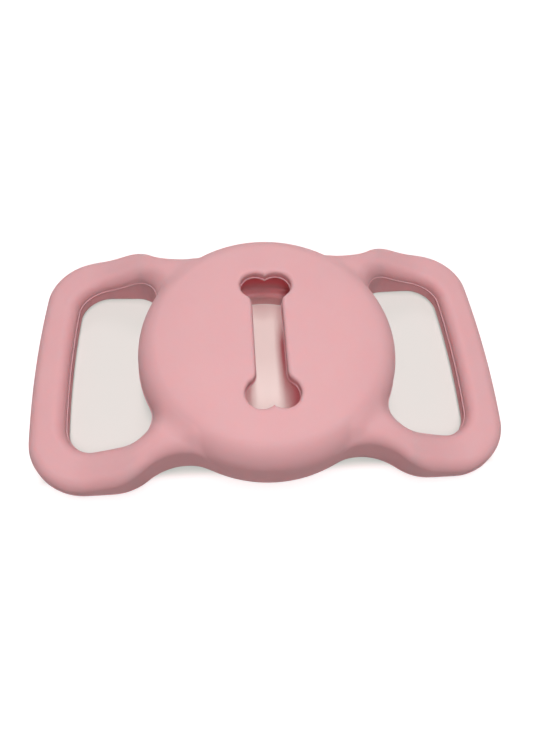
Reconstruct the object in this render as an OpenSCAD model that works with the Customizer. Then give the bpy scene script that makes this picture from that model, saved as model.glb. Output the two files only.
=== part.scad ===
// Tag holder for a flat strap: one soft silicone moulding that snaps over a coin-shaped tag.
// A round domed pocket in the middle, a strap loop at each side, flat on the back.
// Millimetres. X runs along the strap, +Z out of the front, z = 0 is the back.

/* [Tag] */
// Diameter of the coin-shaped tag that the pocket holds
tag_d = 31.9; // [31:0.1:33]
// Thickness of the tag
tag_t = 8; // [7.5:0.1:8.5]

/* [Pocket] */
// Clearance between the tag's edge and the pocket wall
tag_side_gap = 0.25; // [0.1:0.05:0.4]
// Clearance between the tag and the front wall
tag_top_gap = 0.1; // [0:0.05:0.3]
// Thickness of the wall round the tag
side_t = 6.2; // [5.6:0.1:6.8]
// Thickness of the front wall at its crown
front_t = 2; // [1.7:0.1:2.4]
// How far the front face falls from its crown to the pocket's side, flat at first and then steeper
crown = 1.7; // [1.4:0.1:2]
// Rounding between the front face and the side
shoulder_r = 3.8; // [3.3:0.1:4.2]
// Rounding of the pocket's outer back edge
heel_r = 3.4; // [2.8:0.1:3.8]

/* [Retaining lip] */
// Thickness of the lip that keeps the tag in, at the back
lip_t = 3.4; // [3:0.1:3.8]
// How far the lip reaches in under the tag
lip_reach = 1.8; // [1.5:0.1:2.4]
// Rounding of the lip's edge
lip_edge_r = 0.7; // [0.4:0.1:0.9]
// Bevel in the corner between the lip and the pocket wall
seat_bevel = 1; // [0.6:0.1:1.1]

/* [Bone window] */
// Front wall kept between each end of the window and the pocket's side
window_margin = 3.1; // [2.6:0.1:3.8]
// Width of the window across its two lobes
window_w = 9; // [8:0.1:10]
// Width of the window's straight bar
window_bar_w = 5.2; // [4.6:0.1:5.6]
// Radius of each lobe
lobe_r = 2.7; // [2.4:0.1:2.9]
// Fillet between the bar and a lobe
waist_r = 2; // [1.4:0.1:2.4]
// Fillet in the notch between two lobes
notch_r = 1.4; // [1:0.1:1.8]
// Rounding of the window's front edge
window_edge_r = 0.6; // [0.4:0.1:0.8]

/* [Strap loops] */
// Clear width of a strap slot, from the pocket to the bar
slot_w = 12.7; // [12:0.1:14]
// Clear length of a strap slot, across the strap
slot_l = 32.8; // [32:0.1:33.6]
// Width of the outer bar of a loop
bar_w = 5.9; // [5.2:0.1:6.6]
// Width of the neck between the slot and the loop's outer edge
neck_w = 6.4; // [6:0.1:7]
// Thickness of a loop
loop_t = 4.8; // [4.4:0.1:5.4]
// Radius of a loop's outer corners
loop_corner_r = 8.7; // [8.2:0.1:9.2]
// Radius of a slot's outer corners
slot_corner_r = 4.8; // [4.3:0.1:5.3]
// Radius of the bowed outer edge of the bar
bar_bow_r = 170; // [140:5:400]
// Rounding of a loop's front edges
loop_edge_r = 1.9; // [1.2:0.1:2.1]
// Rounding of a loop's back edges
loop_heel_r = 0.9; // [0.6:0.1:1.3]

/* [Necks] */
// Drop from the front of the pocket to the top of a neck where it is highest
neck_drop = 1.6; // [1.4:0.1:2.4]
// How far inside the pocket's side that highest place is
crest_inset = 7.2; // [6.6:0.1:7.8]
// Distance from the pocket's side to where a neck is down to a loop's thickness
slope_reach = 10.6; // [10:0.1:11.2]
// Rounding of a neck's front edges where it leaves the pocket
neck_edge_r = 2.8; // [2.3:0.1:3.2]
// Fillet between the pocket and a neck, inside the slot
root_r = 4.7; // [4.2:0.1:5.2]
// Hollow fillet between the pocket and a neck, on the outline
saddle_r = 10.1; // [9.4:0.1:10.8]
// Distance from the pocket's side to where the loop's outer edge runs straight
straight_reach = 3.7; // [3.4:0.1:4.1]
// Distance from the pocket's side to where a neck starts to flex
flex_start = 0.6; // [0.4:0.1:1]
// Length of straight edge kept between a flexing web and the corner of its loop
flex_land = 0.8; // [0.4:0.1:1.2]
// How deep a neck is rooted in the pocket wall
root_depth = 2.6; // [2.2:0.1:3]
// How far under the pocket's side the fillets of a neck run out
root_bite = 0.1; // [0.06:0.02:0.2]

/* [Hidden] */

// Counts of facets and steps
round_sides = 120;
edge_steps = 5;
arc_steps = 10;
root_steps = 10;
web_steps = 7;
bar_steps = 4;
crown_steps = 9;
brow_steps = 3;
lobe_steps = 9;
fillet_steps = 4;
rim_steps = 3;
solve_steps = 8;

// Overrun of a cutting tool past a face
cut_over = 1;

// Most of a section's width that one rounded edge may take
edge_share = 0.49;

// Derived sizes
pocket_r = tag_d / 2 + tag_side_gap;
outer_r = pocket_r + side_t;
bite_r = outer_r - root_bite;
lip_r = pocket_r - lip_reach;
window_half = pocket_r - window_margin;
roof_z = lip_t + tag_t + tag_top_gap;
front_z = roof_z + front_t;
neck_rise = front_z - neck_drop;
slot_half = slot_l / 2;
loop_half = slot_half + neck_w;
slot_end_x = outer_r + slot_w;
end_x = slot_end_x + bar_w;

// Curves and shared maths
function lerp(a, b, t) = a + (b - a) * t;
function clamp01(t) = min(max(t, 0), 1);
function ease(t) = let (u = clamp01(t)) u * u * (3 - 2 * u);
function on_circle(c, r, a) = [c[0] + r * cos(a), c[1] + r * sin(a)];
function arc(c, r, from, to, steps) = [for (i = [0 : steps]) on_circle(c, r, lerp(from, to, i / steps))];
function flip_y(p) = [p[0], -p[1]];
function rest(list) = [for (i = [1 : len(list) - 1]) list[i]];

// Front profile: the crown falls by the fourth power, then the shoulder arc is tangent to it and to the side
function crown_z(r) = front_z - crown * pow(r / outer_r, 4);
function crown_tilt(r) = atan(4 * crown * pow(r / outer_r, 3) / outer_r);
function shoulder_tilt(n) =
    n == 0 ? 0 : crown_tilt(outer_r - shoulder_r * (1 - sin(shoulder_tilt(n - 1))));
shoulder_a = 90 - shoulder_tilt(solve_steps);
brow_r = outer_r - shoulder_r * (1 - cos(shoulder_a));
shoulder_c = [outer_r - shoulder_r, crown_z(brow_r) - shoulder_r * sin(shoulder_a)];

// Plan of the necks: fillet in the slot, then hollow and shoulder on the outline, all tangent arcs
root_c = let (y = slot_half - root_r) [sqrt(pow(bite_r + root_r, 2) - y * y), y];
straight_c = [outer_r + straight_reach, loop_half - loop_corner_r];
saddle_c = let (to_pocket = bite_r + saddle_r,
                to_loop = saddle_r + loop_corner_r,
                d = norm(straight_c),
                spread = acos((to_pocket * to_pocket + d * d - to_loop * to_loop) / (2 * to_pocket * d)))
    on_circle([0, 0], to_pocket, atan2(straight_c[1], straight_c[0]) + spread);
saddle_start_x = saddle_c[0] * bite_r / (bite_r + saddle_r);
saddle_end_x = lerp(saddle_c[0], straight_c[0], saddle_r / (saddle_r + loop_corner_r));

function outline_y(x) =
    x < saddle_end_x ? saddle_c[1] - sqrt(saddle_r * saddle_r - pow(x - saddle_c[0], 2))
    : x < straight_c[0] ? straight_c[1] + sqrt(pow(loop_corner_r, 2) - pow(x - straight_c[0], 2))
    : loop_half;
function slot_y(x) =
    x < root_c[0] ? root_c[1] + sqrt(root_r * root_r - pow(x - root_c[0], 2)) : slot_half;

// Plan of a loop: both edges of the bar are bowed on one centre, and each corner is tangent to its edge
bow_c = [end_x - bar_bow_r, 0];
function corner_a(edge_r, half, r) = asin((half - r) / (edge_r - r));
function corner_c(edge_r, half, r) = on_circle(bow_c, edge_r - r, corner_a(edge_r, half, r));
slot_bow_r = bar_bow_r - bar_w;
loop_corner_c = corner_c(bar_bow_r, loop_half, loop_corner_r);
slot_corner_c = corner_c(slot_bow_r, slot_half, slot_corner_r);
loop_corner_a = corner_a(bar_bow_r, loop_half, loop_corner_r);
slot_corner_a = corner_a(slot_bow_r, slot_half, slot_corner_r);

// The web flexes between these two planes
web_start_x = outer_r + flex_start;
web_end_x = min(slot_corner_c[0], loop_corner_c[0]) - flex_land;

// Height and roundings fall from the pocket to the loop, by where a section's middle lies
neck_top_x = outer_r - crest_inset;
neck_foot_x = outer_r + slope_reach;
function neck_share(x) = ease((neck_foot_x - x) / (neck_foot_x - neck_top_x));
function section_t(x) = lerp(loop_t, neck_rise, neck_share(x));
function front_edge_r(x) = lerp(loop_edge_r, neck_edge_r, neck_share(x));
function back_edge_r(x) = lerp(loop_heel_r, heel_r, neck_share(x));

// Upright section between a point on the slot's edge and a point on the outline
function section(inner, outer) =
    let (w = norm(outer - inner),
         dir = (outer - inner) / w,
         x = (inner[0] + outer[0]) / 2,
         t = section_t(x),
         f = min(front_edge_r(x), w * edge_share),
         b = min(back_edge_r(x), w * edge_share, t - f),
         flat = concat(arc([b, b], b, 180, 270, edge_steps), arc([w - b, b], b, 270, 360, edge_steps),
                       arc([w - f, t - f], f, 0, 90, edge_steps), arc([f, t - f], f, 90, 180, edge_steps)))
    [for (p = flat) [inner[0] + dir[0] * p[0], inner[1] + dir[1] * p[0], p[1]]];

// Pairs of plan points, from the slot's edge to the outline
function straight_pair(x) = [[x, slot_y(x)], [x, outline_y(x)]];
root_from_a = atan2(-root_c[1], -root_c[0]) + 360;
root_to_a = acos((web_start_x - root_c[0]) / root_r);
function root_pair(t) =
    let (x = lerp(saddle_start_x, web_start_x, t))
    [on_circle(root_c, root_r, lerp(root_from_a, root_to_a, t)), [x, outline_y(x)]];
function sunk_pair(pair) = [for (p = pair) p * (outer_r - root_depth) / bite_r];
function corner_pair(t) =
    [on_circle(slot_corner_c, slot_corner_r, lerp(90, slot_corner_a, t)),
     on_circle(loop_corner_c, loop_corner_r, lerp(90, loop_corner_a, t))];
function bar_pair(t) =
    [on_circle(bow_c, slot_bow_r, slot_corner_a * (1 - t)),
     on_circle(bow_c, bar_bow_r, loop_corner_a * (1 - t))];

root_pairs = concat([sunk_pair(root_pair(0))], [for (i = [0 : root_steps]) root_pair(i / root_steps)]);
web_pairs = [for (i = [0 : web_steps]) straight_pair(lerp(web_start_x, web_end_x, i / web_steps))];
half_loop_pairs = concat([straight_pair(web_end_x)],
                         [for (i = [0 : arc_steps]) corner_pair(i / arc_steps)],
                         [for (i = [1 : bar_steps]) bar_pair(i / bar_steps)]);
loop_pairs = concat(half_loop_pairs,
                    [for (i = [len(half_loop_pairs) - 2 : -1 : 0]) [for (p = half_loop_pairs[i]) flip_y(p)]]);

// Window outline grown outwards by d: bar, waist fillets, lobes and notches as tangent arcs
lobe_c = [window_w / 2 - lobe_r, window_half - lobe_r];
waist_c = [window_bar_w / 2 + waist_r,
           lobe_c[1] - sqrt(pow(lobe_r + waist_r, 2) - pow(window_bar_w / 2 + waist_r - lobe_c[0], 2))];
notch_c = [0, lobe_c[1] + sqrt(pow(lobe_r + notch_r, 2) - pow(lobe_c[0], 2))];
waist_a = atan2(lobe_c[1] - waist_c[1], lobe_c[0] - waist_c[0]);
notch_a = atan2(notch_c[1] - lobe_c[1], notch_c[0] - lobe_c[0]);
function quarter_window(d) =
    let (waist = arc(waist_c, waist_r - d, 180, waist_a, fillet_steps),
         lobe = arc(lobe_c, lobe_r + d, waist_a - 180, notch_a, lobe_steps),
         notch = arc(notch_c, notch_r - d, notch_a - 180, -90, fillet_steps))
    concat(waist, rest(lobe), rest(notch));
function flip_x(p) = [-p[0], p[1]];
function half_window(d) =
    let (q = quarter_window(d)) concat(q, [for (i = [len(q) - 2 : -1 : 0]) flip_x(q[i])]);
function window_outline(d) = let (h = half_window(d)) concat(h, [for (p = h) -p]);
function at_height(outline, z) = [for (p = outline) [p[0], p[1], z]];
function under_face(outline, depth) = [for (p = outline) [p[0], p[1], crown_z(norm(p)) - depth]];

// Closed skin over a row of rings with equal point counts
module skin(rings) {
    n = len(rings[0]);
    last = len(rings) - 1;
    points = [for (ring = rings) each ring];
    sides = [for (i = [0 : last - 1]) for (j = [0 : n - 1])
        let (k = (j + 1) % n, a = i * n + j, b = i * n + k, c = b + n, d = a + n)
        each [[a, d, c], [a, c, b]]];
    first_cap = [for (j = [0 : n - 1]) j];
    last_cap = [for (j = [n - 1 : -1 : 0]) last * n + j];
    polyhedron(points, concat(sides, [first_cap, last_cap]));
}

module strap_form(pairs) {
    skin([for (pair = pairs) section(pair[0], pair[1])]);
}

module silicone() {
    color("#E2ACAE") children();
}

module front_face() {
    silicone() difference() {
        rotate_extrude($fn = round_sides)
            polygon(concat([[0, roof_z], [pocket_r, roof_z]],
                           [for (i = [crown_steps : -1 : 0])
                               let (r = pocket_r * i / crown_steps) [r, crown_z(r)]]));
        skin(concat([at_height(window_outline(0), roof_z - cut_over)],
                    [for (i = [0 : rim_steps])
                        let (a = 90 * i / rim_steps)
                        under_face(window_outline(window_edge_r * (1 - cos(a))),
                                   window_edge_r * (1 - sin(a)))],
                    [at_height(window_outline(window_edge_r), front_z + cut_over)]));
    }
}

module pocket_wall() {
    silicone() union() {
        rotate_extrude($fn = round_sides)
            polygon(concat([[pocket_r, 0]],
                           arc([outer_r - heel_r, heel_r], heel_r, 270, 360, edge_steps),
                           arc(shoulder_c, shoulder_r, 0, shoulder_a, arc_steps),
                           [for (i = [1 : brow_steps])
                               let (r = lerp(brow_r, pocket_r, i / brow_steps)) [r, crown_z(r)]]));
        for (sx = [0, 1], sy = [0, 1])
            mirror([sx, 0, 0]) mirror([0, sy, 0]) strap_form(root_pairs);
    }
}

module retaining_lip() {
    silicone() rotate_extrude($fn = round_sides)
        polygon(concat([[pocket_r, 0]],
                       [[pocket_r, lip_t + seat_bevel], [pocket_r - seat_bevel, lip_t]],
                       arc([lip_r + lip_edge_r, lip_t - lip_edge_r], lip_edge_r, 90, 180, edge_steps),
                       arc([lip_r + lip_edge_r, lip_edge_r], lip_edge_r, 180, 270, edge_steps)));
}

module web() {
    silicone() strap_form(web_pairs);
}

module right_upper_web() {
    web();
}

module right_lower_web() {
    mirror([0, 1, 0]) web();
}

module left_upper_web() {
    mirror([1, 0, 0]) right_upper_web();
}

module left_lower_web() {
    mirror([1, 0, 0]) right_lower_web();
}

module right_loop() {
    silicone() strap_form(loop_pairs);
}

module left_loop() {
    mirror([1, 0, 0]) right_loop();
}

front_face();
pocket_wall();
retaining_lip();
left_upper_web();
left_lower_web();
right_upper_web();
right_lower_web();
left_loop();
right_loop();
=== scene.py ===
from math import acos, asin, atan2, cos, pi, radians, sin, sqrt

import bmesh
import bpy
from mathutils import Matrix, Vector


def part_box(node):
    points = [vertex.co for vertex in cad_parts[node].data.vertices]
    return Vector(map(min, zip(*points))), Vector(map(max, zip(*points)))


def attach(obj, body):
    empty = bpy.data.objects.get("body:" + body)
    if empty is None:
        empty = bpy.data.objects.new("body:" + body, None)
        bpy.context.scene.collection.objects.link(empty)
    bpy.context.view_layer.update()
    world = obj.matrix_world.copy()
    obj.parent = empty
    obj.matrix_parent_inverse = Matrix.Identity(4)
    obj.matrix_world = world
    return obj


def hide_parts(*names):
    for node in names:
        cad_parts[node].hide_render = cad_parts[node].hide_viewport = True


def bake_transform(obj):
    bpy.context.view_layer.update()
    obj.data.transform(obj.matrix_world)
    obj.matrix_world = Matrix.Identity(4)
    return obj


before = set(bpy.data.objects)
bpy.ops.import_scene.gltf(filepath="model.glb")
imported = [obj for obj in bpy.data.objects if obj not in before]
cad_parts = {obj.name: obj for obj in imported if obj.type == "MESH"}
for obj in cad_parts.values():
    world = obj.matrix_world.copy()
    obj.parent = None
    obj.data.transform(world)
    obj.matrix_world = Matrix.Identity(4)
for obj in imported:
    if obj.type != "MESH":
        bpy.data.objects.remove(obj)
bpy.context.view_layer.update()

# One soft silicone moulding: a domed pocket for a coin-shaped tag between two strap loops.
# The frame is in metres. Sizes here are in millimetres, and mm turns them to metres.
mm = 0.001


def sizeOf(node):
    # Low and high corner of a CAD node, in millimetres
    low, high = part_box(node)
    return low / mm, high / mm


def linearColour(hexCode):
    # sRGB hex to the linear values that the shaders take
    values = [int(hexCode[i:i + 2], 16) / 255 for i in (1, 3, 5)]
    return [v / 12.92 if v <= 0.04045 else ((v + 0.055) / 1.055) ** 2.4 for v in values] + [1.0]


def addNode(tree, kind, feeds=None, **settings):
    # Adds a node, sets it up, then links or fills its sockets
    node = tree.nodes.new(kind)
    for name, value in settings.items():
        setattr(node, name, value)
    for socket, value in (feeds or {}).items():
        if isinstance(value, bpy.types.NodeSocket):
            tree.links.new(value, node.inputs[socket])
        else:
            node.inputs[socket].default_value = value
    return node


# Sizes of the moulding

wallLow, wallHigh = sizeOf("pocket_wall")
faceLow, faceHigh = sizeOf("front_face")
loopLow, loopHigh = sizeOf("right_loop")

moulding = {
    # from the frame
    "pocketRadius": wallHigh.y,      # outside of the round pocket
    "tagRadius": faceHigh.x,         # inside of the pocket, round the tag
    "roofZ": faceLow.z,              # underside of the front wall
    "loopHalf": loopHigh.y,          # half the length of a loop, across the strap
    "endX": loopHigh.x,              # far end of a loop
    "loopTop": loopHigh.z - 0.3,     # a loop lies a little lower in the photo than in the CAD
    # pocket
    "frontZ": faceHigh.z,            # crown of the front face
    "crown": 1.7,                    # how far the face falls to the rim, by the fourth power
    "shoulderRound": 3.8,            # rounding from the face to the side
    "roofRound": 0.8,                # inside corner under the front wall
    "seatRound": 0.4,                # inside corner on the lip
    "lipZ": 3.4,                     # thickness of the lip at the back
    "lipRadius": 14.4,               # opening that the tag is pressed in through
    "mouthTop": 6.0,                 # that opening is cut up to here, well into the room for the tag
    "lipRound": 0.7,
    "edgeRound": 0.65,               # rolled edge of the window and of the lip
    "lipShare": 0.25,                # how much a place on the lip counts as deep inside, for the painted shade and glow
    # bone window
    "windowHalf": 13.1,              # from the middle to the end of the lobes
    "windowY": -0.5,                 # it lies a little to the near side in the photo
    "windowLow": 8.0,                # it is cut down to here, well into the room for the tag
    "windowRound": 0.3,              # inside, where it meets the pocket's roof
    "windowWidth": 9.0,
    "barHalf": 2.6,
    "lobeRadius": 2.7,
    "waistRadius": 2.0,
    "notchRadius": 1.4,
    # loops
    "barWidth": 5.9,
    "slotHalf": 16.4,
    "loopCorner": 8.7,
    "slotCorner": 4.8,
    "bowRadius": 170.0,              # bowed outer edge of a bar
    # necks
    "straightX": 26.1,               # where a loop's outer edge starts to run straight
    "rootRadius": 4.7,               # fillet between pocket and neck, in the slot
    "saddleRadius": 10.1,            # hollow between pocket and neck, on the outline
    "neckTopX": 15.2,                # where a neck is highest
    "loopTopX": 33.0,                # where it is down to the loop's thickness
    "neckRise": 11.7,
    "neckFadeFrom": 13.0,            # towards the middle the necks sink under the dome
    "neckFadeTo": 7.0,
    "neckLow": 6.0,
    "dipFrom": 20.5,                 # and inside the shoulder too
    "dipTo": 16.5,
    "dip": 5.0,
    "outerFall": 1.1,                # a neck's top falls by this towards its outer edge
    "outerFallReach": 6.0,
    "lean": 1.3,                     # and by this towards the middle
    "leanFrom": 17.2,
    "leanTo": 12.5,
    "valleyRound": 1.4,              # hollow where a neck's top runs into the shoulder
    "valleyLeast": 0.6,
    "valleyReach": 2.6,              # how far in from a neck's edge that hollow is full
    "wedgeReach": 60.0,              # further than any point of the plan
    # roundings of the edges, for a loop and for a neck
    "nearSlot": -0.8,                # from here to there the slot's roundings give way to the outline's
    "nearOutline": 0.8,
    "slotEdge": 1.9,
    "slotNeckEdge": 3.0,
    "slotHeel": 1.2,
    "slotNeckHeel": 0.4,
    "outerEdge": 2.2,
    "outerNeckEdge": 1.9,
    "outerHeel": 1.7,
    "pocketHeel": 3.4,
}

skinCells = {
    "cell": 0.31,                    # grid in the plane
    "cellUp": 0.24,                  # and upwards
    "margin": 1.5,                   # empty room round the moulding
    "probe": 0.03,                   # how far to each side the slope is felt for
    "settlings": 2,
}


def tangentCentre(centreA, reachA, centreB, reachB):
    # The point at those two distances from the two centres, on the left of the way from A to B
    gap = Vector(centreB) - Vector(centreA)
    span = gap.length
    spread = acos((reachA ** 2 + span ** 2 - reachB ** 2) / (2 * reachA * span))
    angle = atan2(gap.y, gap.x) + spread
    return Vector(centreA) + reachA * Vector((cos(angle), sin(angle)))


def addWedge(name, centre, first, second, limit):
    # A fillet's centre, the unit ways from it to its two tangent points, and how far its wedge goes
    for key, way in (("First", first), ("Second", second)):
        unit = (Vector(way) - centre).normalized()
        moulding[name + key + "X"], moulding[name + key + "Y"] = unit
    moulding[name + "X"], moulding[name + "Y"] = centre
    moulding[name + "Limit"] = limit


def addTangentArcs():
    # Works out the fillets in plan, each tangent to what it joins, where x and y are positive
    m = moulding
    m["bowX"] = m["endX"] - m["bowRadius"]
    m["slotBow"] = m["bowRadius"] - m["barWidth"]
    m["innerX"] = m["straightX"] - m["loopCorner"]
    pocket = (0.0, 0.0)
    straight = (m["straightX"], m["loopHalf"] - m["loopCorner"])
    saddle = tangentCentre(pocket, m["pocketRadius"] + m["saddleRadius"],
                           straight, m["loopCorner"] + m["saddleRadius"])
    addWedge("saddle", saddle, pocket, straight, m["wedgeReach"])
    rootY = m["slotHalf"] - m["rootRadius"]
    root = Vector((sqrt((m["pocketRadius"] + m["rootRadius"]) ** 2 - rootY ** 2), rootY))
    addWedge("root", root, (root.x, m["slotHalf"]), pocket, m["wedgeReach"])
    lobe = Vector((m["windowWidth"] / 2 - m["lobeRadius"], m["windowHalf"] - m["lobeRadius"]))
    m["lobeX"], m["lobeY"] = lobe
    waistX = m["barHalf"] + m["waistRadius"]
    fall = sqrt((m["lobeRadius"] + m["waistRadius"]) ** 2 - (waistX - lobe.x) ** 2)
    waist = Vector((waistX, lobe.y - fall))
    addWedge("waist", waist, lobe, (0, waist.y), waistX)
    notch = Vector((0, lobe.y + sqrt((m["lobeRadius"] + m["notchRadius"]) ** 2 - lobe.x ** 2)))
    addWedge("notch", notch, (0, 0), lobe, m["lobeRadius"] + m["notchRadius"])


addTangentArcs()
print("sizes ready:", len(moulding))


# The moulding as a distance, in Geometry Nodes

def newTree(name, floats, output, first=()):
    # A tree with named inputs; returns it, its input sockets by name, and its output node
    tree = bpy.data.node_groups.new(name, "GeometryNodeTree")
    for socket, kind in first:
        tree.interface.new_socket(name=socket, in_out="INPUT", socket_type=kind)
    for socket in floats:
        tree.interface.new_socket(name=socket, in_out="INPUT", socket_type="NodeSocketFloat")
    tree.interface.new_socket(name=output[0], in_out="OUTPUT", socket_type=output[1])
    inputs = addNode(tree, "NodeGroupInput").outputs
    values = {socket.name: socket for socket in inputs if socket.name}
    return tree, values, addNode(tree, "NodeGroupOutput")


def workOut(tree, values, steps):
    # Each step: its name, a Math operation or one of the groups below, and what it works on
    for name, operation, *terms in steps:
        feeds = {i: values[t] if isinstance(t, str) else t for i, t in enumerate(terms)}
        if operation in bpy.data.node_groups:
            node = addNode(tree, "GeometryNodeGroup", feeds, node_tree=bpy.data.node_groups[operation])
        else:
            node = addNode(tree, "ShaderNodeMath", feeds, operation=operation)
        values[name] = node.outputs[0]


def addHelper(name, floats, steps):
    # A group of Math nodes that gives its last step
    tree, values, end = newTree(name, floats, ("Value", "NodeSocketFloat"))
    workOut(tree, values, steps)
    tree.links.new(values[steps[-1][0]], end.inputs[0])


addHelper("reach", ("a", "b"), (
    ("aa", "MULTIPLY", "a", "a"),
    ("sum", "MULTIPLY_ADD", "b", "b", "aa"),
    ("result", "SQRT", "sum"),
))
# Inside both shapes, with the edge between them rounded
addHelper("roundedCut", ("a", "b", "radius"), (
    ("more", "MAXIMUM", "a", "b"),
    ("less", "MULTIPLY", "radius", -1.0),
    ("flat", "MINIMUM", "more", "less"),
    ("ar", "ADD", "a", "radius"),
    ("br", "ADD", "b", "radius"),
    ("ac", "MAXIMUM", "ar", 0.0),
    ("bc", "MAXIMUM", "br", 0.0),
    ("round", "reach", "ac", "bc"),
    ("result", "ADD", "flat", "round"),
))
# Inside either shape, with a soft valley between them; it works at shallow angles too
addHelper("softJoin", ("a", "b", "width"), (
    ("gap", "SUBTRACT", "a", "b"),
    ("apart", "ABSOLUTE", "gap"),
    ("left", "SUBTRACT", "width", "apart"),
    ("near", "MAXIMUM", "left", 0.0),
    ("square", "MULTIPLY", "near", "near"),
    ("quarter", "DIVIDE", "square", "width"),
    ("least", "MINIMUM", "a", "b"),
    ("result", "MULTIPLY_ADD", "quarter", -0.25, "least"),
))
# Inside either shape, with a fillet in the corner between them
addHelper("filletedJoin", ("a", "b", "radius"), (
    ("na", "MULTIPLY", "a", -1.0),
    ("nb", "MULTIPLY", "b", -1.0),
    ("cut", "roundedCut", "na", "nb", "radius"),
    ("result", "MULTIPLY", "cut", -1.0),
))
addHelper("pick", ("test", "off", "on"), (
    ("change", "SUBTRACT", "on", "off"),
    ("result", "MULTIPLY_ADD", "change", "test", "off"),
))
# 1 where the way (x, y) lies between the two unit ways, else 0
addHelper("between", ("x", "y", "firstX", "firstY", "secondX", "secondY"), (
    ("a", "MULTIPLY", "firstY", "x"),
    ("b", "MULTIPLY", "firstX", "y"),
    ("fromFirst", "SUBTRACT", "b", "a"),
    ("c", "MULTIPLY", "secondX", "y"),
    ("d", "MULTIPLY", "secondY", "x"),
    ("toSecond", "SUBTRACT", "d", "c"),
    ("least", "MINIMUM", "fromFirst", "toSecond"),
    ("result", "GREATER_THAN", "least", 0.0),
))
# 0 at low and 1 at high, with a soft start and end
addHelper("ease", ("value", "low", "high"), (
    ("past", "SUBTRACT", "value", "low"),
    ("span", "SUBTRACT", "high", "low"),
    ("share", "DIVIDE", "past", "span"),
    ("above", "MAXIMUM", "share", 0.0),
    ("t", "MINIMUM", "above", 1.0),
    ("tt", "MULTIPLY", "t", "t"),
    ("slope", "MULTIPLY_ADD", "t", -2.0, 3.0),
    ("result", "MULTIPLY", "tt", "slope"),
))


def arcSteps(arc, radius, sign, across="ay"):
    # Steps for a fillet in plan: its distance, and whether the point is in its wedge
    outOrIn = ("away", radius) if sign < 0 else (radius, "away")
    return (
        (arc + "Dx", "SUBTRACT", "ax", arc + "X"),
        (arc + "Dy", "SUBTRACT", across, arc + "Y"),
        ("away", "reach", arc + "Dx", arc + "Dy"),
        (arc + "Arc", "SUBTRACT", *outOrIn),
        (arc + "Wedge", "between", arc + "Dx", arc + "Dy",
         arc + "FirstX", arc + "FirstY", arc + "SecondX", arc + "SecondY"),
        (arc + "Near", "LESS_THAN", "away", arc + "Limit"),
        (arc + "In", "MULTIPLY", arc + "Wedge", arc + "Near"),
    )


planSteps = (
    # quarter symmetry
    ("ax", "ABSOLUTE", "x"),
    ("ay", "ABSOLUTE", "y"),
    ("radius", "reach", "ax", "ay"),
    ("beyondPocket", "SUBTRACT", "radius", "pocketRadius"),
    # outline of a loop, with its round corners and bowed end
    ("fromBow", "SUBTRACT", "ax", "bowX"),
    ("bowReach", "reach", "fromBow", "ay"),
    ("beyondEnd", "SUBTRACT", "bowReach", "bowRadius"),
    ("beyondSide", "SUBTRACT", "ay", "loopHalf"),
    ("beforeLoop", "SUBTRACT", "innerX", "ax"),
    ("endCorner", "roundedCut", "beyondSide", "beyondEnd", "loopCorner"),
    ("loopOutline", "roundedCut", "endCorner", "beforeLoop", "loopCorner"),
    ("union", "MINIMUM", "beyondPocket", "loopOutline"),
    *arcSteps("saddle", "saddleRadius", 1),
    ("outline", "pick", "saddleIn", "union", "saddleArc"),
    # strap slot, between the pocket and the bar
    ("beyondSlot", "SUBTRACT", "ay", "slotHalf"),
    ("beyondBar", "SUBTRACT", "bowReach", "slotBow"),
    ("slotEnd", "roundedCut", "beyondSlot", "beyondBar", "slotCorner"),
    ("intoPocket", "MULTIPLY", "beyondPocket", -1.0),
    ("slotSharp", "MAXIMUM", "slotEnd", "intoPocket"),
    *arcSteps("root", "rootRadius", -1),
    ("slot", "pick", "rootIn", "slotSharp", "rootArc"),
    ("intoSlot", "MULTIPLY", "slot", -1.0),
    ("plan", "MAXIMUM", "outline", "intoSlot"),
)
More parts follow.
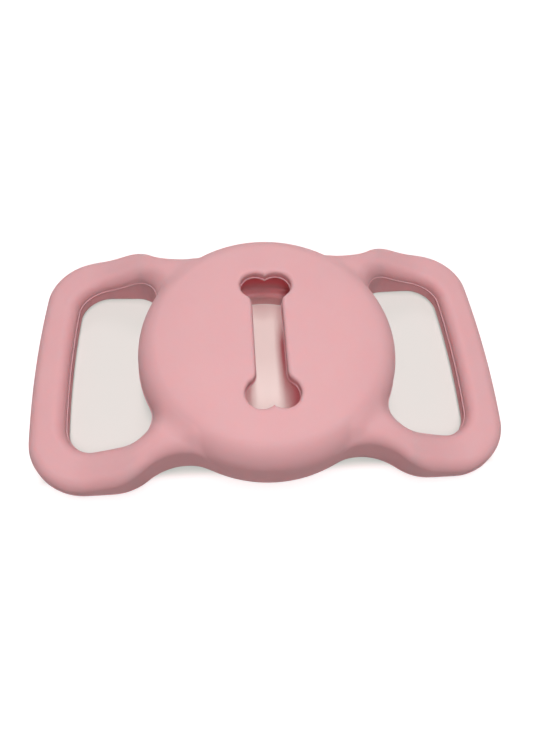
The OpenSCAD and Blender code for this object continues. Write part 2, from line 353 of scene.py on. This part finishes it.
bodySteps = (
    # height and edge roundings fall from the pocket to the loops
    ("climb", "ease", "ax", "loopTopX", "neckTopX"),
    ("outward", "ease", "ax", "neckFadeTo", "neckFadeFrom"),
    ("crest", "pick", "outward", "neckLow", "neckRise"),
    ("neckZ", "pick", "climb", "loopTop", "crest"),
    ("under", "ease", "radius", "dipFrom", "dipTo"),
    ("sink", "MULTIPLY", "under", "dip"),
    ("fallFrom", "MULTIPLY", "outerFallReach", -1.0),
    ("fall", "ease", "outline", "fallFrom", 0.0),
    ("fallen", "MULTIPLY", "fall", "outerFall"),
    ("leaning", "ease", "ay", "leanFrom", "leanTo"),
    ("lower", "MULTIPLY_ADD", "leaning", "lean", "fallen"),
    ("sunk", "MULTIPLY_ADD", "lower", "climb", "sink"),
    ("topZ", "SUBTRACT", "neckZ", "sunk"),
    ("slotLess", "SUBTRACT", "outline", "intoSlot"),
    ("outer", "ease", "slotLess", "nearSlot", "nearOutline"),
    ("slotFront", "pick", "climb", "slotEdge", "slotNeckEdge"),
    ("outerFront", "pick", "climb", "outerEdge", "outerNeckEdge"),
    ("frontRound", "pick", "outer", "slotFront", "outerFront"),
    ("outerBack", "pick", "climb", "outerHeel", "pocketHeel"),
    ("slotBack", "pick", "climb", "slotHeel", "slotNeckHeel"),
    ("backRound", "pick", "outer", "slotBack", "outerBack"),
    ("aboveNeck", "SUBTRACT", "z", "topZ"),
    ("neckTop", "roundedCut", "plan", "aboveNeck", "frontRound"),
    # dome of the pocket
    ("share", "DIVIDE", "radius", "pocketRadius"),
    ("shareSquare", "MULTIPLY", "share", "share"),
    ("shareFourth", "MULTIPLY", "shareSquare", "shareSquare"),
    ("belowFront", "SUBTRACT", "z", "frontZ"),
    ("aboveCrown", "MULTIPLY_ADD", "shareFourth", "crown", "belowFront"),
    ("domeTop", "roundedCut", "beyondPocket", "aboveCrown", "shoulderRound"),
    ("depth", "MULTIPLY", "plan", -1.0),
    ("inside", "ease", "depth", 0.0, "valleyReach"),
    ("valley", "MULTIPLY_ADD", "inside", "valleyRound", "valleyLeast"),
    ("front", "softJoin", "domeTop", "neckTop", "valley"),
    ("behind", "MULTIPLY", "z", -1.0),
    ("body", "roundedCut", "front", "behind", "backRound"),
)
roomSteps = (
    # room for the tag, and the opening behind the lip
    ("besideTag", "SUBTRACT", "radius", "tagRadius"),
    ("aboveRoof", "SUBTRACT", "z", "roofZ"),
    ("belowSeat", "SUBTRACT", "lipZ", "z"),
    ("roomTop", "roundedCut", "besideTag", "aboveRoof", "roofRound"),
    ("room", "roundedCut", "roomTop", "belowSeat", "seatRound"),
    ("besideLip", "SUBTRACT", "radius", "lipRadius"),
    ("aboveMouth", "SUBTRACT", "z", "mouthTop"),
    ("mouth", "MAXIMUM", "besideLip", "aboveMouth"),
    ("tagRoom", "filletedJoin", "room", "mouth", "lipRound"),
    # bone window
    ("besideBar", "SUBTRACT", "ax", "barHalf"),
    ("fromWindow", "SUBTRACT", "y", "windowY"),
    ("wy", "ABSOLUTE", "fromWindow"),
    ("beyondLobes", "SUBTRACT", "wy", "lobeY"),
    ("bar", "MAXIMUM", "besideBar", "beyondLobes"),
    ("lobeDx", "SUBTRACT", "ax", "lobeX"),
    ("lobeDy", "SUBTRACT", "wy", "lobeY"),
    ("lobeReach", "reach", "lobeDx", "lobeDy"),
    ("lobe", "SUBTRACT", "lobeReach", "lobeRadius"),
    ("boneSharp", "MINIMUM", "bar", "lobe"),
    *arcSteps("waist", "waistRadius", 1, "wy"),
    ("boneWaist", "pick", "waistIn", "boneSharp", "waistArc"),
    *arcSteps("notch", "notchRadius", 1, "wy"),
    ("boneTop", "pick", "notchIn", "boneWaist", "notchArc"),
    ("belowWindow", "SUBTRACT", "windowLow", "z"),
    ("window", "MAXIMUM", "boneTop", "belowWindow"),
    ("hollow", "filletedJoin", "tagRoom", "window", "windowRound"),
    ("outOfHollow", "MULTIPLY", "hollow", -1.0),
    ("distance", "roundedCut", "body", "outOfHollow", "edgeRound"),
)
depthSteps = (
    # how deep a wall lies inside the outer form, which places the painted shade and glow; the lip counts
    # less, because the paper lights it
    ("inward", "MULTIPLY", "body", -1.0),
    ("overLip", "ease", "z", "lipZ", "roofZ"),
    ("shareDeep", "pick", "overLip", "lipShare", 1.0),
    ("paintedShadeGlowDepth", "MULTIPLY", "inward", "shareDeep"),
)


def addDistanceTree():
    # Gives the distance to the skin, and how deep a place lies inside the outer form, which places the
    # painted shade and glow
    tree, values, end = newTree("mouldingDistance", moulding, ("Distance", "NodeSocketFloat"),
                                first=(("Position", "NodeSocketVector"),))
    tree.interface.new_socket(name="Depth", in_out="OUTPUT", socket_type="NodeSocketFloat")
    split = addNode(tree, "ShaderNodeSeparateXYZ", {0: values["Position"]})
    values.update(zip("xyz", split.outputs))
    workOut(tree, values, planSteps + bodySteps + roomSteps + depthSteps)
    tree.links.new(values["distance"], end.inputs[0])
    tree.links.new(values["paintedShadeGlowDepth"], end.inputs[1])
    return tree


def addSettling(tree, values, distanceTree, geometry, freeUp):
    # Moves each point down the slope of the distance, onto the skin. If not freeUp, it keeps its height
    feeds = {name: values[name] for name in moulding}

    def distanceAt(place):
        return addNode(tree, "GeometryNodeGroup", {"Position": place, **feeds},
                       node_tree=distanceTree).outputs[0]

    here = addNode(tree, "GeometryNodeInputPosition").outputs[0]
    step = skinCells["probe"]
    for settling in range(skinCells["settlings"]):
        slope = addNode(tree, "ShaderNodeCombineXYZ")
        for axis in range(3 if freeUp else 2):
            ends = []
            for side in (step, -step):
                shift = [0.0, 0.0, 0.0]
                shift[axis] = side
                place = addNode(tree, "ShaderNodeVectorMath", {0: here, 1: shift}, operation="ADD")
                ends.append(distanceAt(place.outputs[0]))
            rise = addNode(tree, "ShaderNodeMath", {0: ends[0], 1: ends[1]}, operation="SUBTRACT")
            tree.links.new(rise.outputs[0], slope.inputs[axis])
        square = addNode(tree, "ShaderNodeVectorMath", {0: slope.outputs[0], 1: slope.outputs[0]},
                         operation="DOT_PRODUCT").outputs["Value"]
        reach = addNode(tree, "ShaderNodeMath", {0: distanceAt(here), 1: square}, operation="DIVIDE")
        back = addNode(tree, "ShaderNodeMath", {0: reach.outputs[0], 1: -2 * step}, operation="MULTIPLY")
        offset = addNode(tree, "ShaderNodeVectorMath", {0: slope.outputs[0], "Scale": back.outputs[0]},
                         operation="SCALE")
        moved = addNode(tree, "GeometryNodeSetPosition",
                        {"Geometry": geometry, "Offset": offset.outputs[0]})
        geometry = moved.outputs[0]
    return geometry


def addEnding(tree, values, end, geometry):
    # Millimetres to metres, then one real mesh with its material
    scaled = addNode(tree, "GeometryNodeTransform", {"Geometry": geometry, "Scale": (mm, mm, mm)})
    smooth = addNode(tree, "GeometryNodeSetShadeSmooth", {"Geometry": scaled.outputs[0]})
    real = addNode(tree, "GeometryNodeRealizeInstances", {0: smooth.outputs[0]})
    finish = addNode(tree, "GeometryNodeSetMaterial",
                     {"Geometry": real.outputs[0], "Material": values["Silicone"]})
    tree.links.new(finish.outputs[0], end.inputs[0])


def addSkinTree(distanceTree):
    # Fills a grid with the distance, takes the surface where it is 0, and settles each point on it
    tree, values, end = newTree("mouldingSkin", moulding, ("Geometry", "NodeSocketGeometry"),
                                first=(("Low", "NodeSocketVector"), ("High", "NodeSocketVector"),
                                       ("CellsX", "NodeSocketInt"), ("CellsY", "NodeSocketInt"),
                                       ("CellsZ", "NodeSocketInt"), ("Silicone", "NodeSocketMaterial")))
    here = addNode(tree, "GeometryNodeInputPosition").outputs[0]
    feeds = {name: values[name] for name in moulding}
    distance = addNode(tree, "GeometryNodeGroup", {"Position": here, **feeds}, node_tree=distanceTree)
    density = addNode(tree, "ShaderNodeMath", {0: 1.0, 1: distance.outputs[0]}, operation="SUBTRACT")
    cube = addNode(tree, "GeometryNodeVolumeCube",
                   {"Density": density.outputs[0], "Min": values["Low"], "Max": values["High"],
                    "Resolution X": values["CellsX"], "Resolution Y": values["CellsY"],
                    "Resolution Z": values["CellsZ"]})
    surface = addNode(tree, "GeometryNodeVolumeToMesh", {"Volume": cube.outputs[0], "Threshold": 1.0})
    settled = addSettling(tree, values, distanceTree, surface.outputs[0], freeUp=True)
    # stores the depth that places the painted shade and glow
    marked = addNode(tree, "GeometryNodeStoreNamedAttribute",
                     {"Geometry": settled, "Name": "paintedShadeGlowDepth", "Value": distance.outputs[1]},
                     data_type="FLOAT", domain="POINT")
    addEnding(tree, values, end, marked.outputs[0])
    return tree


def addFlashTree(distanceTree):
    # Settles closed paths on the skin and sweeps a thin round bead along each
    tree, values, end = newTree("flashBeads", moulding, ("Geometry", "NodeSocketGeometry"),
                                first=(("Paths", "NodeSocketGeometry"), ("BeadRadius", "NodeSocketFloat"),
                                       ("BeadSides", "NodeSocketInt"), ("Silicone", "NodeSocketMaterial")))
    settled = addSettling(tree, values, distanceTree, values["Paths"], freeUp=False)
    path = addNode(tree, "GeometryNodeMeshToCurve", {0: settled})
    ring = addNode(tree, "GeometryNodeCurvePrimitiveCircle",
                   {"Resolution": values["BeadSides"], "Radius": values["BeadRadius"]})
    bead = addNode(tree, "GeometryNodeCurveToMesh", {0: path.outputs[0], "Profile Curve": ring.outputs[0]})
    addEnding(tree, values, end, bead.outputs[0])
    return tree


def runTree(tree, settings, start=None):
    # Runs a tree on a carrier mesh and returns what it makes as one plain mesh
    carrier = bpy.data.objects.new("carrier", start or bpy.data.meshes.new("carrier"))
    bpy.context.scene.collection.objects.link(carrier)
    modifier = carrier.modifiers.new("moulding", "NODES")
    modifier.node_group = tree
    for item in tree.interface.items_tree:
        if item.in_out == "INPUT" and item.name in settings:
            modifier[item.identifier] = settings[item.name]
    evaluated = carrier.evaluated_get(bpy.context.evaluated_depsgraph_get())
    mesh = bpy.data.meshes.new_from_object(evaluated)
    carrier.modifiers.clear()
    bpy.data.objects.remove(carrier)
    return mesh


def makeSkin(material, distanceTree):
    # The whole moulding as one plain mesh
    margin, cell, cellUp = skinCells["margin"], skinCells["cell"], skinCells["cellUp"]
    high = Vector((moulding["endX"], moulding["loopHalf"], moulding["frontZ"]))
    low = Vector((-high.x, -high.y, 0.0))
    low -= Vector((margin, margin, margin))
    high += Vector((margin, margin, margin))
    cells = [round((high[i] - low[i]) / (cellUp if i == 2 else cell)) for i in range(3)]
    settings = {"Low": low, "High": high, "Silicone": material, **moulding,
                "CellsX": cells[0], "CellsY": cells[1], "CellsZ": cells[2]}
    return runTree(addSkinTree(distanceTree), settings)


# Parting lines

flash = {
    "pathGap": 0.35,                 # mm between the points of a path
    "sides": 8,                      # of a bead
    "slotRadius": 0.14,              # thickness of the flash left along the slots
    "windowRadius": 0.2,
    "footRadius": 0.1,               # and round the whole outline, near the back
    "slotLow": 2.9,                  # height of the line on the bar of a loop
    "slotHigh": 8.0,                 # and where a neck is highest
    "windowZ": 11.6,                 # just over the pocket's roof
    "footZ": 1.9,
}


def arcPoints(centre, radius, start, end):
    # Points along an arc in plan, without its last
    steps = max(2, round(abs(end - start) * radius / flash["pathGap"]))
    angles = [start + (end - start) * i / steps for i in range(steps)]
    return [Vector((centre[0] + radius * cos(a), centre[1] + radius * sin(a))) for a in angles]


def linePoints(start, end):
    steps = max(1, round((Vector(end) - Vector(start)).length / flash["pathGap"]))
    return [Vector(start).lerp(Vector(end), i / steps) for i in range(steps)]


def way(name, which):
    return atan2(moulding[name + which + "Y"], moulding[name + which + "X"])


def cornerOnBow(edgeRadius, half, radius):
    # Centre of a loop's corner that is tangent to its bowed edge, and the angle where it meets it
    angle = asin((half - radius) / (edgeRadius - radius))
    return (moulding["bowX"] + (edgeRadius - radius) * cos(angle), half - radius), angle


def slotQuarter():
    m = moulding
    corner, bow = cornerOnBow(m["slotBow"], m["slotHalf"], m["slotCorner"])
    root = (m["rootX"], m["rootY"])
    inPocket = atan2(m["rootY"], m["rootX"])
    return (arcPoints((0, 0), m["pocketRadius"], 0, inPocket)
            + arcPoints(root, m["rootRadius"], inPocket + pi, pi / 2)
            + linePoints((root[0], m["slotHalf"]), (corner[0], m["slotHalf"]))
            + arcPoints(corner, m["slotCorner"], pi / 2, bow)
            + arcPoints((m["bowX"], 0), m["slotBow"], bow, 0))


def windowQuarter():
    m = moulding
    waist, lobe, notch = ((m[k + "X"], m[k + "Y"]) for k in ("waist", "lobe", "notch"))
    return (linePoints((m["barHalf"], 0), (m["barHalf"], waist[1]))
            + arcPoints(waist, m["waistRadius"], pi, way("waist", "First"))
            + arcPoints(lobe, m["lobeRadius"], way("waist", "First") - pi, way("notch", "Second") + pi)
            + arcPoints(notch, m["notchRadius"], way("notch", "Second"), -pi / 2))


def footQuarter():
    m = moulding
    corner, bow = cornerOnBow(m["bowRadius"], m["loopHalf"], m["loopCorner"])
    straight = (m["straightX"], m["loopHalf"] - m["loopCorner"])
    saddle = (m["saddleX"], m["saddleY"])
    toLoop = way("saddle", "Second") % (2 * pi)
    toPocket = way("saddle", "First") % (2 * pi)
    return (arcPoints((m["bowX"], 0), m["bowRadius"], 0, bow)
            + arcPoints(corner, m["loopCorner"], bow, pi / 2)
            + linePoints((corner[0], m["loopHalf"]), (straight[0], m["loopHalf"]))
            + arcPoints(straight, m["loopCorner"], pi / 2, toLoop - pi)
            + arcPoints(saddle, m["saddleRadius"], toLoop, toPocket)
            + arcPoints((0, 0), m["pocketRadius"], toPocket - pi, pi / 2))


def mirrored(points, flipX, flipY):
    # The same way round in a mirror, with each point but the last taken over
    return [Vector((-p.x if flipX else p.x, -p.y if flipY else p.y)) for p in reversed(points)]


def slotHeight(x):
    t = (moulding["loopTopX"] - abs(x)) / (moulding["loopTopX"] - moulding["neckTopX"])
    t = min(max(t, 0.0), 1.0)
    return flash["slotLow"] + (flash["slotHigh"] - flash["slotLow"]) * t * t * (3 - 2 * t)


def makePaths(loops):
    # One mesh of closed edge loops; each loop is its points and its height
    points, edges = [], []
    for loop, height in loops:
        first = len(points)
        points += [(p.x, p.y, height(p.x)) for p in loop]
        edges += [(first + i, first + (i + 1) % len(loop)) for i in range(len(loop))]
    mesh = bpy.data.meshes.new("flashPaths")
    mesh.from_pydata(points, edges, [])
    return mesh


def makeFlash(material, distanceTree):
    quarter = slotQuarter()
    slotEnd = [Vector((moulding["slotBow"] + moulding["bowX"], 0))]
    slot = quarter[1:] + slotEnd + mirrored(quarter, False, True)
    window = windowQuarter()
    middle = Vector((0, moulding["windowY"]))
    notchTip = [Vector((0, moulding["notchY"] - moulding["notchRadius"]))]
    half = window + notchTip + mirrored(window[1:], True, False)
    foot = footQuarter()
    side = foot + [Vector((0, moulding["pocketRadius"]))] + mirrored(foot[1:], True, False)
    slots = [(slot, slotHeight), ([Vector((-p.x, p.y)) for p in slot], slotHeight)]
    bone = [([p + middle for p in half + [-p for p in half]], lambda x: flash["windowZ"])]
    outline = [(side + [-p for p in side], lambda x: flash["footZ"])]
    tree = addFlashTree(distanceTree)
    made = []
    for loops, radius in ((slots, flash["slotRadius"]), (bone, flash["windowRadius"]),
                          (outline, flash["footRadius"])):
        settings = {"BeadRadius": radius, "BeadSides": flash["sides"], "Silicone": material, **moulding}
        made.append(runTree(tree, settings, makePaths(loops)))
    return made


# Material

def makeSilicone(name, thin):
    # Silicone rubber, compression moulded in a fine-blasted mould. The eye sees an even, matte pink with
    # broad soft highlights and a little light in its edges. Its deep warm red where light bounces inside is
    # painted
    # shade: a deeper red painted into the colour of the hollows, with a faint painted red glow there.
    look = {
        # painted light: the flash gets paler colours, for light coming through it
        "colour": "#F0B0B4" if thin else "#E5AFB2",
        "cloud": "#ECA9AE" if thin else "#E1A9AD",    # the pigment is not mixed quite evenly
        "inside": "#EE858E",         # painted shade: a deeper red painted on skin that only light from other pink skin reaches
        "insideFrom": 0.5,           # the painted shade and glow grow from here to insideTo, in mm under the outer form
        "insideTo": 2.2,
        "cloudSize": 9.0 * mm,
        "cloudDetail": 2.0,
        "grainSize": 0.35 * mm,      # blasted grain, drawn coarser than its 0.05 mm so that it shows
        "grainDetail": 3.0,
        "grainHeight": 0.006 * mm,
        "roughness": (0.55, 0.62),
        "ior": 1.41,
        "sheen": 0.08,
        "scatter": 0.45,
        "scatterReach": (1.0, 0.3, 0.25),    # red goes furthest
        "scatterScale": 2.0 * mm,
        "through": "#F9656F",        # painted glow: a red emission that stands for light coming down through the skin
        "paintedGlowLevel": 0.055,
    }
    material = bpy.data.materials.new(name)
    material.use_nodes = True
    tree = material.node_tree
    shader = tree.nodes["Principled BSDF"]
    place = addNode(tree, "ShaderNodeTexCoord").outputs["Object"]
    cloud = addNode(tree, "ShaderNodeTexNoise",
                    {"Vector": place, "Scale": 1 / look["cloudSize"],
                     "Detail": look["cloudDetail"]}).outputs[0]
    tone = addNode(tree, "ShaderNodeMix",
                   {0: cloud, 6: linearColour(look["colour"]), 7: linearColour(look["cloud"])},
                   data_type="RGBA").outputs["Result"]
    # painted shade and glow: a share that grows with how deep a place lies under the outer form
    depth = addNode(tree, "ShaderNodeAttribute", attribute_name="paintedShadeGlowDepth").outputs["Fac"]
    paintedShadeGlowShare = addNode(tree, "ShaderNodeMapRange",
                     {0: depth, 1: look["insideFrom"], 2: look["insideTo"]}, interpolation_type="SMOOTHSTEP")
    colour = addNode(tree, "ShaderNodeMix", {0: paintedShadeGlowShare.outputs[0], 6: tone, 7: linearColour(look["inside"])},
                     data_type="RGBA").outputs["Result"]
    # painted glow: places deep inside emit a faint red
    through = addNode(tree, "ShaderNodeMath", {0: paintedShadeGlowShare.outputs[0], 1: look["paintedGlowLevel"]},
                      operation="MULTIPLY")
    grain = addNode(tree, "ShaderNodeTexNoise",
                    {"Vector": place, "Scale": 1 / look["grainSize"],
                     "Detail": look["grainDetail"]}).outputs[0]
    bump = addNode(tree, "ShaderNodeBump", {"Distance": look["grainHeight"], "Height": grain})
    dull, duller = look["roughness"]
    rough = addNode(tree, "ShaderNodeMapRange", {0: cloud, 3: dull, 4: duller})
    tree.links.new(colour, shader.inputs["Base Color"])
    tree.links.new(through.outputs[0], shader.inputs["Emission Strength"])
    shader.inputs["Emission Color"].default_value = linearColour(look["through"])
    tree.links.new(bump.outputs[0], shader.inputs["Normal"])
    tree.links.new(rough.outputs[0], shader.inputs["Roughness"])
    shader.inputs["IOR"].default_value = look["ior"]
    shader.inputs["Sheen Weight"].default_value = look["sheen"]
    shader.inputs["Subsurface Weight"].default_value = look["scatter"]
    shader.inputs["Subsurface Radius"].default_value = look["scatterReach"]
    shader.inputs["Subsurface Scale"].default_value = look["scatterScale"]
    return material


silicone = makeSilicone("compressionMouldedSilicone", thin=False)
flashSilicone = makeSilicone("siliconeFlash", thin=True)     # a paler copy of the silicone: painted light, for light that comes through the thin flash
distanceTree = addDistanceTree()
whole = makeSkin(silicone, distanceTree)
beads = makeFlash(flashSilicone, distanceTree)
print("skin:", len(whole.polygons), "faces; flash:", sum(len(b.polygons) for b in beads), "faces")


# One piece for each body

bodySkins = {
    "cutX": 22.7 * mm,               # just outside the pocket, where the necks still move with it
    "bendFrom": 23.0 * mm,           # the real rubber bends between these two planes
    "bendTo": 29.0 * mm,
    "closeEnough": 1e-7,             # metres, for a point to lie on a cut
    "besideCut": 1e-6,               # and to stay with a piece
    "merge": 5e-7,                   # points closer than this are one, so no sliver is left at a cut
}


def cutAcross(meshes):
    # Cuts the moulding across the necks. Both sides keep the normals that the whole one has there
    bm = bmesh.new()
    for mesh in meshes:
        bm.from_mesh(mesh)
    for x in (-bodySkins["cutX"], bodySkins["cutX"]):
        bmesh.ops.bisect_plane(bm, geom=bm.verts[:] + bm.edges[:] + bm.faces[:], plane_co=(x, 0, 0),
                               plane_no=(1, 0, 0), dist=bodySkins["closeEnough"])
    bmesh.ops.remove_doubles(bm, verts=bm.verts[:], dist=bodySkins["merge"])
    bm.normal_update()
    return bm


def keepPart(whole, name, low, high, material):
    # A copy of what lies between two planes, with its cut ends closed
    bm = whole.copy()
    near = bodySkins["besideCut"]
    outside = [v for v in bm.verts if v.co.x < low - near or v.co.x > high + near]
    bmesh.ops.delete(bm, geom=outside, context="VERTS")
    shading = [v.normal.copy() for v in bm.verts]
    bm.verts.index_update()
    ends = [e for e in bm.edges if e.is_boundary]
    caps = bmesh.ops.holes_fill(bm, edges=ends, sides=0)["faces"]
    bmesh.ops.recalc_face_normals(bm, faces=bm.faces[:])
    for face in caps:
        face.smooth = False
    capIndex = len(bm.faces) - len(caps)
    mesh = bpy.data.meshes.new(name)
    bm.to_mesh(mesh)
    bm.free()
    mesh.normals_split_custom_set([face.normal if face.index >= capIndex else shading[vertex]
                                   for face in mesh.polygons for vertex in face.vertices])
    mesh.materials.append(material)
    piece = bpy.data.objects.new(name, mesh)
    bpy.context.scene.collection.objects.link(piece)
    print(name + ":", len(mesh.polygons), "faces,", len(caps), "cut ends")
    return piece


beyond = (moulding["endX"] + skinCells["margin"]) * mm
for kind, meshes, material in (("Skin", [whole], silicone), ("Flash", beads, flashSilicone)):
    cut = cutAcross(meshes)
    piece = keepPart(cut, "pocket" + kind, -bodySkins["cutX"], bodySkins["cutX"], material)
    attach(piece, "pocket")
    if kind == "Skin":
        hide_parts("pocket_wall", "front_face", "retaining_lip")
    for side, sign in (("left", -1), ("right", 1)):
        low, high = sorted((sign * bodySkins["cutX"], sign * beyond))
        piece = keepPart(cut, side + "Loop" + kind, low, high, material)
        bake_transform(piece)
        if kind == "Skin":
            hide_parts(side + "_loop", side + "_upper_web", side + "_lower_web")
    cut.free()


# Floor, light and camera

floorLook = {
    "half": 2.0,                     # metres
    "drop": 0.05 * mm,               # clear of the flat back, which would flicker against it
    "paper": "#B8A2A2",              # tinted pink, so that the light it bounces onto the holder's walls paints their shade redder
    "pocketPaper": "#DADFD8",        # in the pocket's opening, set together with the painted red glow there
    "roughness": 0.9,
    "liftSlots": (0.32, 0.40, 0.37),     # lifts the paper only to a pale grey in a rectangle round the holder, a painted shade that shows in the slots, to white where it lies open, and far out, where little of the light reaches it
    "liftOpen": (0.74, 0.74, 0.74),      # to white where it lies open,
    "liftFar": (1.0, 1.0, 1.0),          # and far out, where little of the light reaches it
    "liftPocket": (0.17, 0.03, 0.04),    # painted red glow on the paper, for light that comes down through the skin of the pocket
    "shadeX": 38 * mm,               # half the rectangle of painted shade, where the paper keeps its tone and shade
    "shadeY": 19.5 * mm,
    "shadeFrom": 0.95,               # its soft edge, as shares of that half
    "shadeTo": 1.06,
    "farFrom": 70 * mm,
    "farTo": 300 * mm,
    "openingRadius": 14.6 * mm,
    "backGap": 0.2 * mm,             # what lies closer to the paper than this is the flat back,
    "backLight": 0.75,               # which gets light all the same, so that it can be looked at
}


def makeFloor():
    look = floorLook
    floor = bpy.data.objects.new("floor", bpy.data.meshes.new("floor"))
    half, low = look["half"], -look["drop"]
    floor.data.from_pydata([(-half, -half, low), (half, -half, low), (half, half, low), (-half, half, low)],
                           [], [(0, 1, 2, 3)])
    bpy.context.scene.collection.objects.link(floor)
    material = bpy.data.materials.new("paperSweep")
    material.use_nodes = True
    tree = material.node_tree
    shader = tree.nodes["Principled BSDF"]
    shader.inputs["Roughness"].default_value = look["roughness"]
    # the camera sees the paper lifted to white, with the holder's shadow still on it; round the holder it is
    # lifted less, which paints shade there, and under the pocket a red glow is painted
    path = addNode(tree, "ShaderNodeLightPath").outputs
    seen = path["Is Camera Ray"]
    place = addNode(tree, "ShaderNodeTexCoord").outputs["Object"]
    # painted shade: a soft-edged rectangle round the holder where the paper is lifted only to grey
    flat = addNode(tree, "ShaderNodeVectorMath",
                   {0: place, 1: (1 / look["shadeX"], 1 / look["shadeY"], 0.0)}, operation="MULTIPLY")
    sides = addNode(tree, "ShaderNodeVectorMath", {0: flat.outputs[0]}, operation="ABSOLUTE")
    split = addNode(tree, "ShaderNodeSeparateXYZ", {0: sides.outputs[0]})
    away = addNode(tree, "ShaderNodeMath", {0: split.outputs[0], 1: split.outputs[1]}, operation="MAXIMUM")
    clear = addNode(tree, "ShaderNodeMapRange",
                    {0: away.outputs[0], 1: look["shadeFrom"], 2: look["shadeTo"]},
                    interpolation_type="SMOOTHSTEP")
    near = addNode(tree, "ShaderNodeMix", {0: clear.outputs[0], 6: (*look["liftSlots"], 1.0),
                                           7: (*look["liftOpen"], 1.0)}, data_type="RGBA")
    middle = addNode(tree, "ShaderNodeVectorMath", {0: place}, operation="LENGTH").outputs["Value"]
    far = addNode(tree, "ShaderNodeMapRange", {0: middle, 1: look["farFrom"], 2: look["farTo"]})
    lift = addNode(tree, "ShaderNodeMix", {0: far.outputs[0], 6: near.outputs["Result"],
                                           7: (*look["liftFar"], 1.0)}, data_type="RGBA")
    # painted light: in the pocket's opening the paper takes another tone and a painted red glow
    inOpening = addNode(tree, "ShaderNodeMath", {0: middle, 1: look["openingRadius"]},
                       operation="LESS_THAN")
    paper = addNode(tree, "ShaderNodeMix",
                    {0: inOpening.outputs[0], 6: linearColour(look["paper"]),
                     7: linearColour(look["pocketPaper"])}, data_type="RGBA")
    tree.links.new(paper.outputs["Result"], shader.inputs["Base Color"])
    glowColour = addNode(tree, "ShaderNodeMix",
                         {0: inOpening.outputs[0], 6: lift.outputs["Result"],
                          7: (*look["liftPocket"], 1.0)}, data_type="RGBA")
    glow = addNode(tree, "ShaderNodeEmission",
                   {"Color": glowColour.outputs["Result"], "Strength": seen})
    onBack = addNode(tree, "ShaderNodeMath", {0: path["Ray Length"], 1: look["backGap"]},
                     operation="LESS_THAN")
    fromBack = addNode(tree, "ShaderNodeMath", {0: onBack.outputs[0], 1: path["Is Diffuse Ray"]},
                       operation="MULTIPLY")
    backLevel = addNode(tree, "ShaderNodeMath", {0: fromBack.outputs[0], 1: look["backLight"]},
                        operation="MULTIPLY")
    backGlow = addNode(tree, "ShaderNodeEmission", {"Strength": backLevel.outputs[0]})
    glows = addNode(tree, "ShaderNodeAddShader", {0: glow.outputs[0], 1: backGlow.outputs[0]})
    both = addNode(tree, "ShaderNodeAddShader", {0: shader.outputs[0], 1: glows.outputs[0]})
    # from beneath, the paper is clear, so that the back of the holder can be looked at
    beneath = addNode(tree, "ShaderNodeNewGeometry").outputs["Backfacing"]
    clearPaper = addNode(tree, "ShaderNodeBsdfTransparent")
    oneWay = addNode(tree, "ShaderNodeMixShader",
                     {0: beneath, 1: both.outputs[0], 2: clearPaper.outputs[0]})
    tree.links.new(oneWay.outputs[0], tree.nodes["Material Output"].inputs["Surface"])
    floor.data.materials.append(material)


lamps = {                            # metres and watts
    # long and narrow, facing down over the holder and the room before it
    "keyLight": {"place": (0.0, -0.06, 0.27), "aim": (0.0, -0.06, 0.0), "sizes": (0.034, 0.23), "power": 0.6},
    # from behind, for the far walls and the sheen on the far side of the dome
    "backLight": {"place": (0.0, 0.3, 0.3), "aim": (0.0, 0.0, 0.0), "sizes": (0.06, 0.1), "power": 0.27},
}
studio = {
    "white": 1.0,                    # what the camera and reflections see beyond the floor
    "fill": 0.12,                    # and the light that comes from there
}
view = {                             # degrees, mm and pixels
    "azimuth": -9.62,
    "elevation": 62.18,
    "roll": 6.35,
    "distance": 105.35,
    "aimX": 1.77,
    "aimY": 0.47,
    "focal": 557.7,
    "imageWidth": 551,
    "sensor": 36,
    "clipStart": 5,
}


def makeLight(name, place, aim, sizes, power):
    lamp = bpy.data.lights.new(name, "AREA")
    lamp.shape = "RECTANGLE"
    lamp.size, lamp.size_y = sizes
    lamp.energy = power
    light = bpy.data.objects.new(name, lamp)
    light.location = place
    light.rotation_euler = (Vector(aim) - Vector(place)).to_track_quat("-Z", "Y").to_euler()
    bpy.context.scene.collection.objects.link(light)


def makeCamera():
    a, e, roll = (radians(view[k]) for k in ("azimuth", "elevation", "roll"))
    back = Vector((sin(a) * cos(e), -cos(a) * cos(e), sin(e)))
    level = Vector((cos(a), sin(a), 0))
    up = back.cross(level)
    right = cos(roll) * level + sin(roll) * up
    up = cos(roll) * up - sin(roll) * level
    camera = bpy.data.cameras.new("camera")
    camera.sensor_fit = "HORIZONTAL"
    camera.sensor_width = view["sensor"]
    camera.lens = view["sensor"] * view["focal"] / view["imageWidth"]
    camera.clip_start = view["clipStart"] * mm
    holder = bpy.data.objects.new("camera", camera)
    turned = Matrix((right, up, back)).transposed().to_4x4()
    place = (Vector((view["aimX"], view["aimY"], 0)) + back * view["distance"]) * mm
    holder.matrix_world = Matrix.Translation(place) @ turned
    bpy.context.scene.collection.objects.link(holder)
    bpy.context.scene.camera = holder


def makeWorld():
    world = bpy.data.worlds.new("studio")
    bpy.context.scene.world = world
    world.use_nodes = True
    tree = world.node_tree
    path = addNode(tree, "ShaderNodeLightPath").outputs
    seen = addNode(tree, "ShaderNodeMath", {0: path["Is Camera Ray"], 1: path["Is Glossy Ray"]},
                   operation="ADD")
    strength = addNode(tree, "ShaderNodeMapRange",
                       {0: seen.outputs[0], 3: studio["fill"], 4: studio["white"]})
    tree.nodes["Background"].inputs["Color"].default_value = (1, 1, 1, 1)
    tree.links.new(strength.outputs[0], tree.nodes["Background"].inputs["Strength"])


makeFloor()
for name, lamp in lamps.items():
    makeLight(name, **lamp)
makeCamera()
makeWorld()
print("floor, lights and camera ready")
bpy.context.scene.view_settings.view_transform = "Standard"
